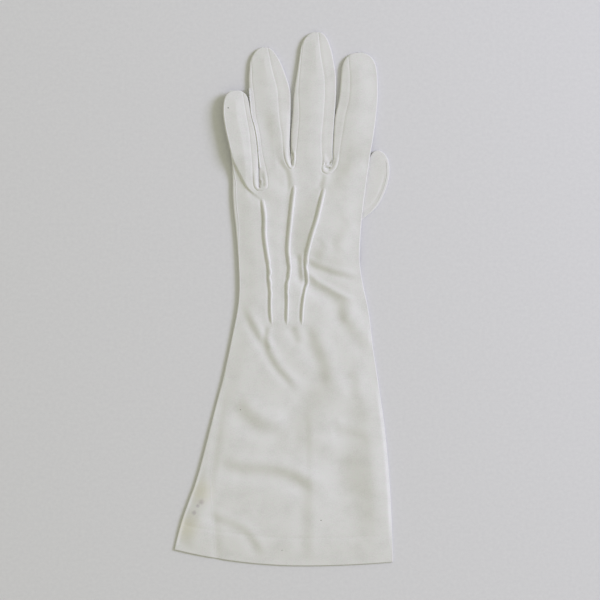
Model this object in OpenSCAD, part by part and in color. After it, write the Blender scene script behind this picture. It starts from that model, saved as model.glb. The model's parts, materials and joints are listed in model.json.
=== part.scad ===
// A woman's eight-button glove for the left hand, laid flat with the palm down.
// +Y runs from the hem to the fingertips, +X to the thumb side, +Z up from the surface it lies on.
// The origin is at the middle of the glove's outline, on that surface.

/* [Cloth] */
// Thickness of the cloth
cloth = 0.7; // [0.5:0.05:0.8]
// How far the seams stand out from the cloth
seam_proud = 0.25; // [0.1:0.05:0.4]

/* [Cuff] */
// Height of the hollow hand and cuff at their rounded edges
hand_edge_h = 4.4; // [4:0.1:5]
// Extra height of the hollow hand and cuff over their middle
hand_dome_h = 3.4; // [3:0.1:4]
// Depth of the turned hem
hem_depth = 18; // [12:1:24]

/* [Fingers] */
// Height of a hollow finger at its rounded edges
finger_edge_h = 3.4; // [3:0.1:4]
// Extra height of a hollow finger over its middle
finger_dome_h = 2.8; // [2.6:0.1:3.2]
// Free gap between two pieces that move apart
fold_gap = 0.4; // [0.3:0.05:0.6]

/* [Thumb] */
// Height of the flattened thumb
thumb_h = 3.2; // [2.8:0.1:3.6]
// Radius of the round hole in the palm that the thumb is set into
thumb_hole_r = 15.5; // [14:0.5:16]

/* [Points] */
// Width of the three raised rows of stitching on the back
point_w = 2.4; // [1.6:0.1:3]
// Height of the three raised rows of stitching on the back
point_h = 1.1; // [0.6:0.1:1.5]

/* [Hidden] */

$fn = 48;
eps = 0.01;
back_colour = "whitesmoke";
fourchette_colour = "gainsboro";
thread_colour = "white";

// Where the glove folds, along Y
hem_y = -176;
wrist_y = -19;
little_root_y = 73.5;
finger_root_y = 88;
index_knuckle_y = 126;
middle_knuckle_y = 133;
ring_knuckle_y = 128;
little_knuckle_y = 106;

// Outlines as [y, x] points, from the hem towards the fingertips
hand_left = [
    [-176, -71.8], [-162, -68.8], [-147, -64.8], [-122, -57.6], [-80, -47], [-45, -38],
    [-20, -32.6], [0, -29.2], [20, -29.3], [45, -31], [65, -33], [92, -33.2]
];
hand_right = [
    [-176, 72.4], [-133, 70.8], [-93, 67.8], [-54, 62.5], [-27, 58.4], [-14, 57.2], [0, 54.7],
    [14, 51.6], [29, 50.3], [50, 51.5], [70, 53.8], [92, 57]
];
little_ring_line = [
    [72, -15.3], [80, -15.4], [87, -16], [100, -17.3], [106, -18], [113, -19.3], [119, -21],
    [125, -22]
];
little_left = [
    [72, -33.2], [90, -33.6], [99, -35.1], [111, -37.8], [122, -39.4], [128, -39.1], [137, -38.6]
];
little_right = concat(shifted(little_ring_line, -fold_gap), [[130, -22.7], [137, -23]]);
ring_left = concat(shifted(little_ring_line, fold_gap / 2),
    [[133, -22.4], [144, -22.9], [156, -22], [166, -21]]);
ring_right = [
    [86, 5.3], [96, 4.5], [101, 4.2], [111, 4.5], [128, 4.9], [138, 4.5], [151, 1.8],
    [158, -0.5], [166, -3]
];
middle_left = [
    [86, 5.9], [98, 5], [111, 5.2], [121, 6.1], [135, 6.9], [148, 8.8], [161, 10.8], [176, 11.6]
];
middle_right = [
    [86, 32.1], [98, 32.4], [115, 33.5], [134, 34.8], [148, 34.8], [161, 34.2], [176, 33.4]
];
index_left = [
    [86, 32.9], [98, 32.9], [110, 33.3], [121, 34.3], [131, 36.5], [145, 37.9], [162, 38.6]
];
index_right = [
    [86, 56], [98, 57.9], [108, 59.6], [127, 61.9], [140, 62.5], [152, 62.2], [162, 61.6]
];

// The cuff's side seam, where it has rolled onto the back, as [y, x] points
cuff_seam = [
    [-176, -44.4], [-140, -47], [-120, -48], [-100, -45.7], [-80, -43.1], [-58, -38.5]
];

// The raised rows on the back, as [y, x] points
little_point = [
    [-17.3, -7.4], [-7, -8.1], [8, -8.1], [14, -9.1], [19, -8.7], [32, -10.7], [42, -11.9],
    [55, -12], [67.5, -14]
];
middle_point = [
    [-17.6, 2.5], [-1, 3.1], [10, 3.1], [19, 4.8], [32, 3.5], [52, 5.1], [76.5, 7.8]
];
index_point = [
    [-17.6, 12.4], [-6, 13], [4, 14.4], [12, 16.3], [24, 15.3], [39, 18.3], [52, 22.3],
    [74.5, 27.6]
];

// The thumb: its hole, and its outline from the hole's inner side round to the outer side
thumb_centre = [37.5, 44];
thumb_base_r = thumb_hole_r + 0.7;
thumb_lift = thumb_h + fold_gap;
thumb_inner = [[24.5, 54], [35, 65], [46, 76], [54, 88]];
thumb_top = [[57.5, 94.5], [60, 97.3], [63, 97.8], [66.5, 96]];
thumb_outer = [[69, 92], [70, 86.5], [69.6, 79], [66.6, 69.5], [62, 61], [55.5, 54]];

// ---- Curves and sections ----

function shifted(line, by) = [for (p = line) [p[0], p[1] + by]];
function ease(t) = let (s = min(max(t, 0), 1)) s * s * (3 - 2 * s);
function mix(a, b, t) = a + (b - a) * t;

// A smooth curve through [y, x] points: its x at a given y
function span_at(line, y, i = 0) =
    (i >= len(line) - 2 || y < line[i + 1][0]) ? i : span_at(line, y, i + 1);
function slope_at(line, i) =
    let (a = line[max(i - 1, 0)], b = line[min(i + 1, len(line) - 1)])
    (b[1] - a[1]) / (b[0] - a[0]);
function curve_x(line, y) =
    let (i = span_at(line, y), p = line[i], q = line[i + 1], h = q[0] - p[0], t = (y - p[0]) / h)
    (1 + 2 * t) * pow(1 - t, 2) * p[1] + t * pow(1 - t, 2) * h * slope_at(line, i)
    + t * t * (3 - 2 * t) * q[1] + t * t * (t - 1) * h * slope_at(line, i + 1);

// A smooth closed curve through plane points, with a few points on each span
function closed_curve(pts, steps) =
    let (n = len(pts))
    [for (i = [0 : n - 1], k = [0 : steps - 1])
        let (
            a = pts[(i + n - 1) % n],
            b = pts[i],
            c = pts[(i + 1) % n],
            d = pts[(i + 2) % n],
            t = k / steps
        )
        b + (c - a) / 2 * t + (2 * a - 5 * b + 4 * c - d) / 2 * t * t
        + (3 * b - a - 3 * c + d) / 2 * t * t * t];
function inset(pts, by) =
    let (n = len(pts))
    [for (i = [0 : n - 1])
        let (d = pts[(i + 1) % n] - pts[(i + n - 1) % n])
        pts[i] + by * [d[1], -d[0]] / norm(d)];

// The hem rises towards its two ends, most at the side seam
function hem_rise(x, y) =
    ease((-100 - y) / 50) * (x < 14 ? 10.7 * pow((14 - x) / 86, 2) : 2.5 * pow((x - 14) / 58, 2));

// The palm rests on the folded thumb, so everything above the thumb is lifted
lift_margin = 1.5;
function thumb_distance(x, y) =
    min(norm([x, y] - thumb_centre) - thumb_base_r,
        max((24 + (y - 54) * 0.86 - x) * 0.76, y - 98.5, 56 - y)) - lift_margin;
function lift(x, y) = thumb_lift * ease(1 - thumb_distance(x, y) / 12);
function placed(x, y, z) = [x, y + hem_rise(x, y), z + lift(x, y)];

// One flattened cross-section. Turns q: 0 to 1 up the left edge, 1 to 2 across the top,
// 2 to 3 down the right edge, 3 to 4 back along the underside, and on round again.
function dome(f) = ease(min(f, 1 - f) / 0.35);
function section(left, right, r, dome_h, q, depth) =
    let (f = q - floor(q), side = floor(q) % 4, flat = right - left - 2 * r)
    side == 0
    ? [left + r + (r - depth) * cos(270 - 180 * f), r + (r - depth) * sin(270 - 180 * f)]
    : side == 1 ? [left + r + flat * f, 2 * r - depth + dome_h * dome(f)]
    : side == 2
    ? [right - r + (r - depth) * cos(90 - 180 * f), r + (r - depth) * sin(90 - 180 * f)]
    : [right - r - flat * f, depth];

// The hand and cuff
function hand_dome(y) = mix(hand_dome_h, finger_dome_h, ease((y - 45) / 43));
function hand_r(y) = mix(hand_edge_h, finger_edge_h, ease((y - 45) / 43)) / 2;
function hand_point(y, q, depth) =
    let (
        left = curve_x(hand_left, y),
        right = curve_x(hand_right, y),
        s = section(left, right, hand_r(y), hand_dome(y), q, depth)
    )
    placed(s[0], y, s[1]);
function hand_top(x, y) =
    let (r = hand_r(y), left = curve_x(hand_left, y) + r, right = curve_x(hand_right, y) - r)
    2 * r + hand_dome(y) * dome((x - left) / (right - left));

// A finger: [left line, right line, tip y, length of its rounded end]
little = [little_left, little_right, 137, 13];
ring = [ring_left, ring_right, 165.8, 15];
middle = [middle_left, middle_right, 175.8, 16];
index = [index_left, index_right, 162.2, 15];
function roundness(finger, y) =
    let (t = max(y - finger[2] + finger[3], 0) / finger[3])
    pow(max(1 - pow(t, 2.4), 0), 0.42);
function finger_point(finger, y, q, depth) =
    let (
        k = roundness(finger, y),
        left = curve_x(finger[0], y),
        right = curve_x(finger[1], y),
        middle_x = (left + right) / 2,
        half = k * (right - left) / 2,
        r = mix(finger_edge_h / 2, cloth + eps, ease((y - finger[2] + 4) / 4)),
        s = section(middle_x - half, middle_x + half, r, finger_dome_h * k, q, depth)
    )
    placed(s[0], y, s[1]);
// A fourchette narrows to nothing at the fingertip
function narrowing(finger, y) = 1 - ease((y - finger[2] + 35) / 30);

// Rows of stations along Y
function steps(a, b, n) = [for (i = [0 : n]) mix(a, b, i / n)];
function base_rows(root_y, knuckle_y) = steps(root_y + fold_gap, knuckle_y - fold_gap / 2, 6);
function tip_rows(finger, knuckle_y) =
    let (cap_y = finger[2] - finger[3])
    concat(steps(knuckle_y + fold_gap / 2, cap_y, 4),
        [for (a = [20, 38, 54, 68, 79, 86]) cap_y + finger[3] * sin(a)]);

// ---- Solids ----

// A closed skin between an outer and an inner grid of points
module skin(outer, inner) {
    n = len(outer);
    m = len(outer[0]);
    points = [for (g = [outer, inner], row = g, p = row) p];
    back = n * m;
    quads = concat(
        [for (i = [0 : n - 2], j = [0 : m - 2])
            [i * m + j, i * m + j + 1, (i + 1) * m + j + 1, (i + 1) * m + j]],
        [for (i = [0 : n - 2], j = [0 : m - 2])
            [back + i * m + j, back + (i + 1) * m + j, back + (i + 1) * m + j + 1, back + i * m + j + 1]],
        [for (i = [0 : n - 2]) [i * m, (i + 1) * m, back + (i + 1) * m, back + i * m]],
        [for (i = [0 : n - 2])
            [back + i * m + m - 1, back + (i + 1) * m + m - 1, (i + 1) * m + m - 1, i * m + m - 1]],
        [for (j = [0 : m - 2]) [back + j, back + j + 1, j + 1, j]],
        [for (j = [0 : m - 2])
            [(n - 1) * m + j, (n - 1) * m + j + 1, back + (n - 1) * m + j + 1, back + (n - 1) * m + j]]
    );
    polyhedron(points, [for (f = quads, t = [[0, 2, 1], [0, 3, 2]]) [for (k = t) f[k]]]);
}

// Columns round the hand or cuff between two turns
round_columns = [for (n = [0 : 8], k = [0 : (n % 2 == 0 ? 5 : 13)]) n + k / (n % 2 == 0 ? 6 : 14)];
function columns(from, to) =
    concat([from], [for (q = round_columns) if (q > from + eps && q < to - eps) q], [to]);

module hand_skin(rows, from, to, outer_depth, inner_depth) {
    cols = columns(from, to);
    skin([for (y = rows) [for (q = cols) hand_point(y, q, outer_depth)]],
        [for (y = rows) [for (q = cols) hand_point(y, q, inner_depth)]]);
}

// A strip of a finger. From and to are [turn at the root, turn at the fingertip].
module finger_skin(finger, rows, from, to, count, outer_depth = 0, inner_depth = cloth) {
    function turn(y, i) =
        let (k = narrowing(finger, y))
        mix(mix(from[1], from[0], k), mix(to[1], to[0], k), i / count);
    skin([for (y = rows) [for (i = [0 : count]) finger_point(finger, y, turn(y, i), outer_depth)]],
        [for (y = rows) [for (i = [0 : count]) finger_point(finger, y, turn(y, i), inner_depth)]]);
}

// A rounded rib that stands on the back of the hand along a [y, x] line
rib_root = 0.5;
module back_rib(line, width, height) {
    rows = steps(line[0][0], line[len(line) - 1][0], 24);
    angles = [180, 150, 120, 90, 60, 30, 0];
    function rib(y, a, h) =
        let (
            end = ease((y - line[0][0]) / 2) * ease((line[len(line) - 1][0] - y) / 3),
            x = curve_x(line, y) + width / 2 * cos(a)
        )
        placed(x, y, hand_top(x, y) + h * (sin(a) * (0.25 + 0.75 * end) + 0.05));
    function root(y, a) = rib(y, a, 0) - [0, 0, rib_root];
    difference() {
        skin([for (y = rows) [for (a = angles) rib(y, a, height)]],
            [for (y = rows) [for (a = angles) root(y, a)]]);
        hand_skin(hand_rows, 1, 2, 0, 2 * cloth);
    }
}

// The slot between two fingers, seen from above: a round bottom and straight sides
module crotch(bottom, lean, r, length) {
    translate(bottom) rotate(lean) {
        circle(r);
        translate([-r, 0]) square([2 * r, length]);
    }
}
// [centre of the round bottom, lean, length]
crotches = [
    [[-15.9, 72.4], 2, 16],
    [[5.6, 86.8], 0, 5],
    [[29.7, 83.4], -25, 9]
];
crotch_r = 1.5;
fork_h = finger_edge_h + finger_dome_h;

module fork(i) {
    c = crotches[i];
    intersection() {
        linear_extrude(fork_h) difference() {
            crotch(c[0], c[1], crotch_r, c[2]);
            crotch(c[0], c[1], crotch_r - cloth, c[2] + 1);
        }
        union() {
            translate([-16.6, 60, -1]) cube([60, finger_root_y - 60, 20]);
            translate([-40, 60, -1]) cube([60, little_root_y - 60, 20]);
        }
    }
}

// ---- Cuff ----

// The cuff's rows start at the hem, with one where the turned layer ends
function cuff_rows_to(end) = steps(hem_y, end, 2);
cuff_rows = concat(cuff_rows_to(hem_y + hem_depth),
    steps(hem_y + hem_depth + 12, wrist_y - fold_gap / 2, 10));
hem_gap = 0.12;
seam_half = 0.12;
left_equator = 0.5;

// The side seam runs on the back near the hem, and reaches the left edge below the wrist
seam_back_w = 1.6;
seam_back_end = cuff_seam[len(cuff_seam) - 1][0];
seam_count = 4;
sleeve_count = 80;
function at_edge(y) = ease((y - seam_back_end + 8) / 36);
function seam_middle(y) =
    let (
        r = hand_r(y),
        left = curve_x(hand_left, y) + r,
        right = curve_x(hand_right, y) - r,
        on_back = 1 + (curve_x(cuff_seam, min(y, seam_back_end)) - left) / (right - left)
    )
    mix(on_back, left_equator, at_edge(y));
function seam_reach(y) =
    mix(seam_back_w / 2 / (curve_x(hand_right, y) - curve_x(hand_left, y)), seam_half, at_edge(y));

module cuff_skin(count, on_seam, outer_depth, inner_depth) {
    function turn(y, i) =
        let (h = seam_reach(y))
        seam_middle(y) + (on_seam ? mix(-h, h, i / count) : mix(h, 4 - h, i / count));
    skin([for (y = cuff_rows) [for (i = [0 : count]) hand_point(y, turn(y, i), outer_depth)]],
        [for (y = cuff_rows) [for (i = [0 : count]) hand_point(y, turn(y, i), inner_depth)]]);
}

module cuff_sleeve() { color(back_colour) cuff_skin(sleeve_count, false, 0, cloth); }
module cuff_side_seam() { color(thread_colour) cuff_skin(seam_count, true, -seam_proud, cloth); }

module cuff_turned_hem() {
    color(back_colour)
        hand_skin(cuff_rows_to(hem_y + hem_depth), left_equator + seam_half,
            left_equator + 4 - seam_half, cloth + hem_gap, 2 * cloth);
}

module cuff_hem_stitching() {
    row_y = hem_y + hem_depth;
    start = seam_middle(row_y) + seam_reach(row_y) + 0.01;
    color(thread_colour)
        hand_skin([row_y - 0.35, row_y, row_y + 0.35], start, 2 - 1 / 14, -seam_proud, -0.06);
}

// ---- Hand ----

hand_rows = concat(steps(wrist_y + fold_gap / 2, 20, 4), steps(26, 62, 6),
    [67, little_root_y, 81, finger_root_y]);

module hand_trank() {
    color(back_colour) difference() {
        hand_skin(hand_rows, left_equator + seam_half, left_equator + 4 - seam_half, 0, cloth);
        translate([-45, little_root_y, -1]) cube([29.3, 30, 20]);
        for (c = crotches)
            translate([0, 0, -1]) linear_extrude(20) crotch(c[0], c[1], crotch_r, c[2] + 4);
        translate([thumb_centre[0], thumb_centre[1], 1]) cylinder(r = thumb_hole_r + fold_gap, h = 4.5);
    }
}

module hand_side_seam() {
    rows = [for (y = hand_rows) if (y <= little_root_y) y];
    color(thread_colour)
        hand_skin(rows, left_equator - seam_half, left_equator + seam_half, -seam_proud, cloth);
}

module point_little_side() { color(thread_colour) back_rib(little_point, point_w, point_h); }
module point_middle() { color(thread_colour) back_rib(middle_point, point_w, point_h); }
module point_index_side() { color(thread_colour) back_rib(index_point, point_w, point_h); }
module fork_little_ring() { color(fourchette_colour) fork(0); }
module fork_ring_middle() { color(fourchette_colour) fork(1); }
module fork_middle_index() { color(fourchette_colour) fork(2); }

// ---- Thumb ----

thumb_outline = closed_curve(concat(thumb_inner, thumb_top, thumb_outer,
    [for (a = [10 : -27 : -205]) thumb_centre + thumb_base_r * [cos(a), sin(a)]]), 3);

module thumb_sheath() {
    color(back_colour) difference() {
        linear_extrude(thumb_h) polygon(thumb_outline);
        translate([0, 0, cloth]) linear_extrude(thumb_h - 2 * cloth) polygon(inset(thumb_outline, cloth));
        translate([thumb_centre[0], thumb_centre[1], thumb_h - cloth - eps])
            cylinder(r = thumb_hole_r - 1.3, h = 2 * cloth);
    }
}

module thumb_side_seam() {
    band = [for (i = [12 : 39]) i];
    wide = inset(thumb_outline, -2 * seam_proud);
    color(thread_colour) translate([0, 0, thumb_h / 2 - 0.3]) linear_extrude(0.6)
        polygon(concat([for (i = band) thumb_outline[i]], [for (i = [39 : -1 : 12]) wide[i]]));
}

module thumb_hole_seam() {
    color(thread_colour) translate([thumb_centre[0], thumb_centre[1], thumb_h]) difference() {
        cylinder(r = thumb_hole_r, h = fold_gap + cloth + seam_proud);
        translate([0, 0, -1]) cylinder(r = thumb_hole_r - 1.3, h = 4);
    }
}

// ---- Fingers ----

// Turns where a back or palm strip meets its fourchettes, as [at the root, at the fingertip]
function left_top(w) = [1 + w, 1];
function right_top(w) = [2 - w, 2];
function right_low(w) = [3 + w, 3];
function left_low(w) = [4 - w, 4];
function on(turns) = [turns[0] + 4, turns[1] + 4];
seam_low = [left_equator - seam_half, left_equator - seam_half];
seam_high = [left_equator + seam_half, left_equator + seam_half];
palm_w = 0.12;

little_base = base_rows(little_root_y, little_knuckle_y);
little_tip = tip_rows(little, little_knuckle_y);
ring_base = base_rows(finger_root_y, ring_knuckle_y);
ring_tip = tip_rows(ring, ring_knuckle_y);
middle_base = base_rows(finger_root_y, middle_knuckle_y);
middle_tip = tip_rows(middle, middle_knuckle_y);
index_base = base_rows(finger_root_y, index_knuckle_y);
index_tip = tip_rows(index, index_knuckle_y);

module back_strip(finger, rows, from, to) {
    color(back_colour) finger_skin(finger, rows, from, to, 10);
}
module palm_strip(finger, rows, from, to) {
    color(back_colour) finger_skin(finger, rows, from, to, 4);
}
module fourchette(finger, rows, from, to) {
    color(fourchette_colour) finger_skin(finger, rows, from, to, 10);
}
module side_seam(finger, rows) {
    color(thread_colour) finger_skin(finger, rows, seam_low, seam_high, 2, -seam_proud);
}

// The index finger's back and palm are one piece, folded at its outer edge
module index_trank(rows) {
    color(back_colour) finger_skin(index, rows, left_top(0.22), left_low(palm_w), 22);
}
module index_base_trank() index_trank(index_base);
module index_base_fourchette() fourchette(index, index_base, left_low(palm_w), on(left_top(0.22)));
module index_tip_trank() index_trank(index_tip);
module index_tip_fourchette() fourchette(index, index_tip, left_low(palm_w), on(left_top(0.22)));

module middle_base_back() back_strip(middle, middle_base, left_top(0.12), right_top(0.27));
module middle_base_palm() palm_strip(middle, middle_base, right_low(palm_w), left_low(palm_w));
module middle_base_fourchette_ring_side()
    fourchette(middle, middle_base, left_low(palm_w), on(left_top(0.12)));
module middle_base_fourchette_index_side()
    fourchette(middle, middle_base, right_top(0.27), right_low(palm_w));
module middle_tip_back() back_strip(middle, middle_tip, left_top(0.12), right_top(0.27));
module middle_tip_palm() palm_strip(middle, middle_tip, right_low(palm_w), left_low(palm_w));
module middle_tip_fourchette_ring_side()
    fourchette(middle, middle_tip, left_low(palm_w), on(left_top(0.12)));
module middle_tip_fourchette_index_side()
    fourchette(middle, middle_tip, right_top(0.27), right_low(palm_w));

module ring_base_back() back_strip(ring, ring_base, left_top(0.12), right_top(0.2));
module ring_base_palm() palm_strip(ring, ring_base, right_low(palm_w), left_low(palm_w));
module ring_base_fourchette_little_side()
    fourchette(ring, ring_base, left_low(palm_w), on(left_top(0.12)));
module ring_base_fourchette_middle_side()
    fourchette(ring, ring_base, right_top(0.2), right_low(palm_w));
module ring_tip_back() back_strip(ring, ring_tip, left_top(0.12), right_top(0.2));
module ring_tip_palm() palm_strip(ring, ring_tip, right_low(palm_w), left_low(palm_w));
module ring_tip_fourchette_little_side()
    fourchette(ring, ring_tip, left_low(palm_w), on(left_top(0.12)));
module ring_tip_fourchette_middle_side()
    fourchette(ring, ring_tip, right_top(0.2), right_low(palm_w));

module little_base_back() back_strip(little, little_base, seam_high, right_top(0.25));
module little_base_palm() palm_strip(little, little_base, right_low(palm_w), on(seam_low));
module little_base_fourchette() fourchette(little, little_base, right_top(0.25), right_low(palm_w));
module little_base_side_seam() side_seam(little, little_base);
module little_tip_back() back_strip(little, little_tip, seam_high, right_top(0.25));
module little_tip_palm() palm_strip(little, little_tip, right_low(palm_w), on(seam_low));
module little_tip_fourchette() fourchette(little, little_tip, right_top(0.25), right_low(palm_w));
module little_tip_side_seam() side_seam(little, little_tip);

cuff_sleeve();
cuff_side_seam();
cuff_turned_hem();
cuff_hem_stitching();
hand_trank();
hand_side_seam();
point_little_side();
point_middle();
point_index_side();
fork_little_ring();
fork_ring_middle();
fork_middle_index();
thumb_sheath();
thumb_side_seam();
thumb_hole_seam();
index_base_trank();
index_base_fourchette();
index_tip_trank();
index_tip_fourchette();
middle_base_back();
middle_base_palm();
middle_base_fourchette_ring_side();
middle_base_fourchette_index_side();
middle_tip_back();
middle_tip_palm();
middle_tip_fourchette_ring_side();
middle_tip_fourchette_index_side();
ring_base_back();
ring_base_palm();
ring_base_fourchette_little_side();
ring_base_fourchette_middle_side();
ring_tip_back();
ring_tip_palm();
ring_tip_fourchette_little_side();
ring_tip_fourchette_middle_side();
little_base_back();
little_base_palm();
little_base_fourchette();
little_base_side_seam();
little_tip_back();
little_tip_palm();
little_tip_fourchette();
little_tip_side_seam();
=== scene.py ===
import json
import math

import bmesh
import bpy
import numpy as np
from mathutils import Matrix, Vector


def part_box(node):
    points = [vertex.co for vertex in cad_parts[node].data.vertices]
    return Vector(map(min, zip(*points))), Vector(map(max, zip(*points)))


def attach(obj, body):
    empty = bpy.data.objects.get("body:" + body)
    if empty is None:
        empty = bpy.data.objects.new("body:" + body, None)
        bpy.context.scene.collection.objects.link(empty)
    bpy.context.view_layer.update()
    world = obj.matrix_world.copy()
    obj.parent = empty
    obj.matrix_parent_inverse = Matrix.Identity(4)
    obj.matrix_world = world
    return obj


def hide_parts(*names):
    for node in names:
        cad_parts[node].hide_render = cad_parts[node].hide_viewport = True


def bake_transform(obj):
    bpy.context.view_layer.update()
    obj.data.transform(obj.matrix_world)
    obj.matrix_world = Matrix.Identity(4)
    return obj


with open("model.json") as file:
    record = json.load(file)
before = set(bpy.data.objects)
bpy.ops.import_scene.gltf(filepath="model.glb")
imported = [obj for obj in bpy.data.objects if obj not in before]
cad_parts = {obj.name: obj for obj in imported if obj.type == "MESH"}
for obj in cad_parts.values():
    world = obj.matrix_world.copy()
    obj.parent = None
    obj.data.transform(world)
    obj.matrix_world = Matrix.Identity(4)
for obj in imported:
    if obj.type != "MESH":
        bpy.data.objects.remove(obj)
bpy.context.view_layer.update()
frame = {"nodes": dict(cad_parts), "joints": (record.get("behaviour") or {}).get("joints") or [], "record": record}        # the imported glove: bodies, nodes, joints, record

MM = 0.001
NODES_OF = frame["record"]["behaviour"]["bodies"]
JOINTS = {joint["name"]: joint for joint in frame["joints"]}

# ---- Sizes of the cloth, in millimetres ----
CLOTH = 0.3              # thickness of the knitted cloth
FLOOR_GAP = 0.12         # the lower layer's height over the floor
HEM_R, CUFF_R, HAND_R = 0.6, 0.85, 1.1    # radius of the folded edges
EDGE_POWER = 2.6         # 2 is a round edge, more is squarer
DOME = 0.8               # how much the upper layer rises inside the edges
DOME_RUN = 13.0          # how far from an edge it is full
SEAM_DEPTH = 0.17        # depth of a sewn seam's groove
SEAM_WIDTH = 0.32
FOLD_RUN = 9.0           # length of cloth that a finger joint bends
HEM_FOLD = 0.3           # radius of the folded hem
HEM_DEPTH = 18.0         # depth of the turned hem
THUMB_H = 1.9            # height of the flattened thumb
THUMB_RAMP = 18.0        # how far from the thumb the cloth over it comes down
LITTLE_RAISED = (4.2, 2.7)    # how far the little finger's outer and inner edges stand off the floor
LITTLE_RAISE_RUN = 24.0       # how far above its crotch it is fully raised
HEM_GROOVE, HEM_GROOVE_HALF = 0.13, 1.2    # the groove along the hem's stitches
EDGE_REACH = 14.0        # distances to the glove's edges are measured up to this
WELD = 0.004             # points this near become one
UV_SCALE = 10            # texture units in a metre
SHARP_ANGLE = 60         # degrees from which an edge is sharp
LIGHT_SIDE = np.array([0.85, 0.53])    # where the light comes from, in the floor's plane


def ease(t):
    s = np.clip(t, 0, 1)
    return s * s * (3 - 2 * s)


def mix(a, b, t):
    return a + (b - a) * t


def bell(away, width):
    return np.exp(-(away / width) ** 2)


def arc(t):
    """A quarter circle from 0 to 1, steep at first."""
    return np.sqrt(1 - (1 - np.clip(t, 0, 1)) ** 2)


def fade_ends(share, start, end):
    """1 along a line and 0 at its two ends."""
    return ease(share / start) * ease((1 - share) / end)


# ---- Reading the frame ----

def mesh_of(names):
    """The points, in millimetres, and the edges of CAD nodes."""
    points, edges, count = [], [], 0
    for name in names:
        mesh = frame["nodes"][name].data
        co = np.empty(len(mesh.vertices) * 3)
        mesh.vertices.foreach_get("co", co)
        ends = np.empty(len(mesh.edges) * 2, np.int32)
        mesh.edges.foreach_get("vertices", ends)
        points.append(co.reshape(-1, 3) / MM)
        edges.append(ends.reshape(-1, 2) + count)
        count += len(mesh.vertices)
    return np.concatenate(points), np.concatenate(edges)


def span(names, axis, places):
    """Where CAD nodes begin and end along the other plane axis, at places along this one."""
    points, edges = mesh_of(names)
    a, b = points[edges[:, 0]], points[edges[:, 1]]
    low, high = [], []
    for place in places:
        crossing = (a[:, axis] - place) * (b[:, axis] - place) <= 1e-4
        p, q = a[crossing], b[crossing]
        run = q[:, axis] - p[:, axis]
        level = np.abs(run) < 1e-6
        t = np.clip(np.where(level, 0, (place - p[:, axis]) / np.where(level, 1, run)), 0, 1)
        other = p[:, 1 - axis] + t * (q[:, 1 - axis] - p[:, 1 - axis])
        low.append(other.min())
        high.append(other.max())
    return np.array(low), np.array(high)


def smooth(at, values, x):
    """A smooth curve through values at rising places, read at x."""
    x = np.clip(x, at[0], at[-1])
    slope = np.gradient(values, at)
    i = np.clip(np.searchsorted(at, x) - 1, 0, len(at) - 2)
    h = at[i + 1] - at[i]
    t = (x - at[i]) / h
    return ((1 + 2 * t) * (1 - t) ** 2 * values[i] + t * (1 - t) ** 2 * h * slope[i]
            + t * t * (3 - 2 * t) * values[i + 1] + t * t * (t - 1) * h * slope[i + 1])


def joint_at(name):
    return np.array(JOINTS[name]["pos_m"]) / MM


WRIST_Y = joint_at("wrist_fold")[1]
ROOT_Y = {f: joint_at(f + "_base_fold")[1] for f in ("little", "ring", "middle", "index")}
KNUCKLE_Y = {f: joint_at(f + "_tip_fold")[1] for f in ROOT_Y}
HAND_TOP_Y = ROOT_Y["ring"]

# ---- Outlines ----

CAP_POWER = 2.4          # a fingertip's half width falls with about this root of the distance to its end
# Each fingertip's length, and how square it is: 1 keeps the CAD's shape, more is squarer
CAP_SHAPE = {"little": (13, 1.5), "ring": (15, 1.15), "middle": (16, 1.0), "index": (15, 1.15)}
# The share of its width that a finger loses towards its tip, on the right side
TIP_LEAN = {"little": 0.0, "ring": 0.11, "middle": 0.13, "index": 0.03}
LEAN_FROM, LEAN_RUN = 32, 30       # the lean starts this far below the tip, and grows over this
STRAIGHT_END, SLOPE_RUN = 17.0, 6  # a seam runs straight on from this far below the tip
SLOT_HALF = 0.07         # half the gap between two fingers that lie against each other
SLOT_TAPER = 6.0         # length of the gap's narrowing lower end
OPEN_GAP = 0.75          # the fingers part where the CAD leaves them more than this apart
OPEN_RUN = 9             # length over which they part
LITTLE_OVERLAP = 0.22    # the raised little finger covers the gap beside it
OVERLAP_FROM, OVERLAP_RUN = 86, 10


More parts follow.
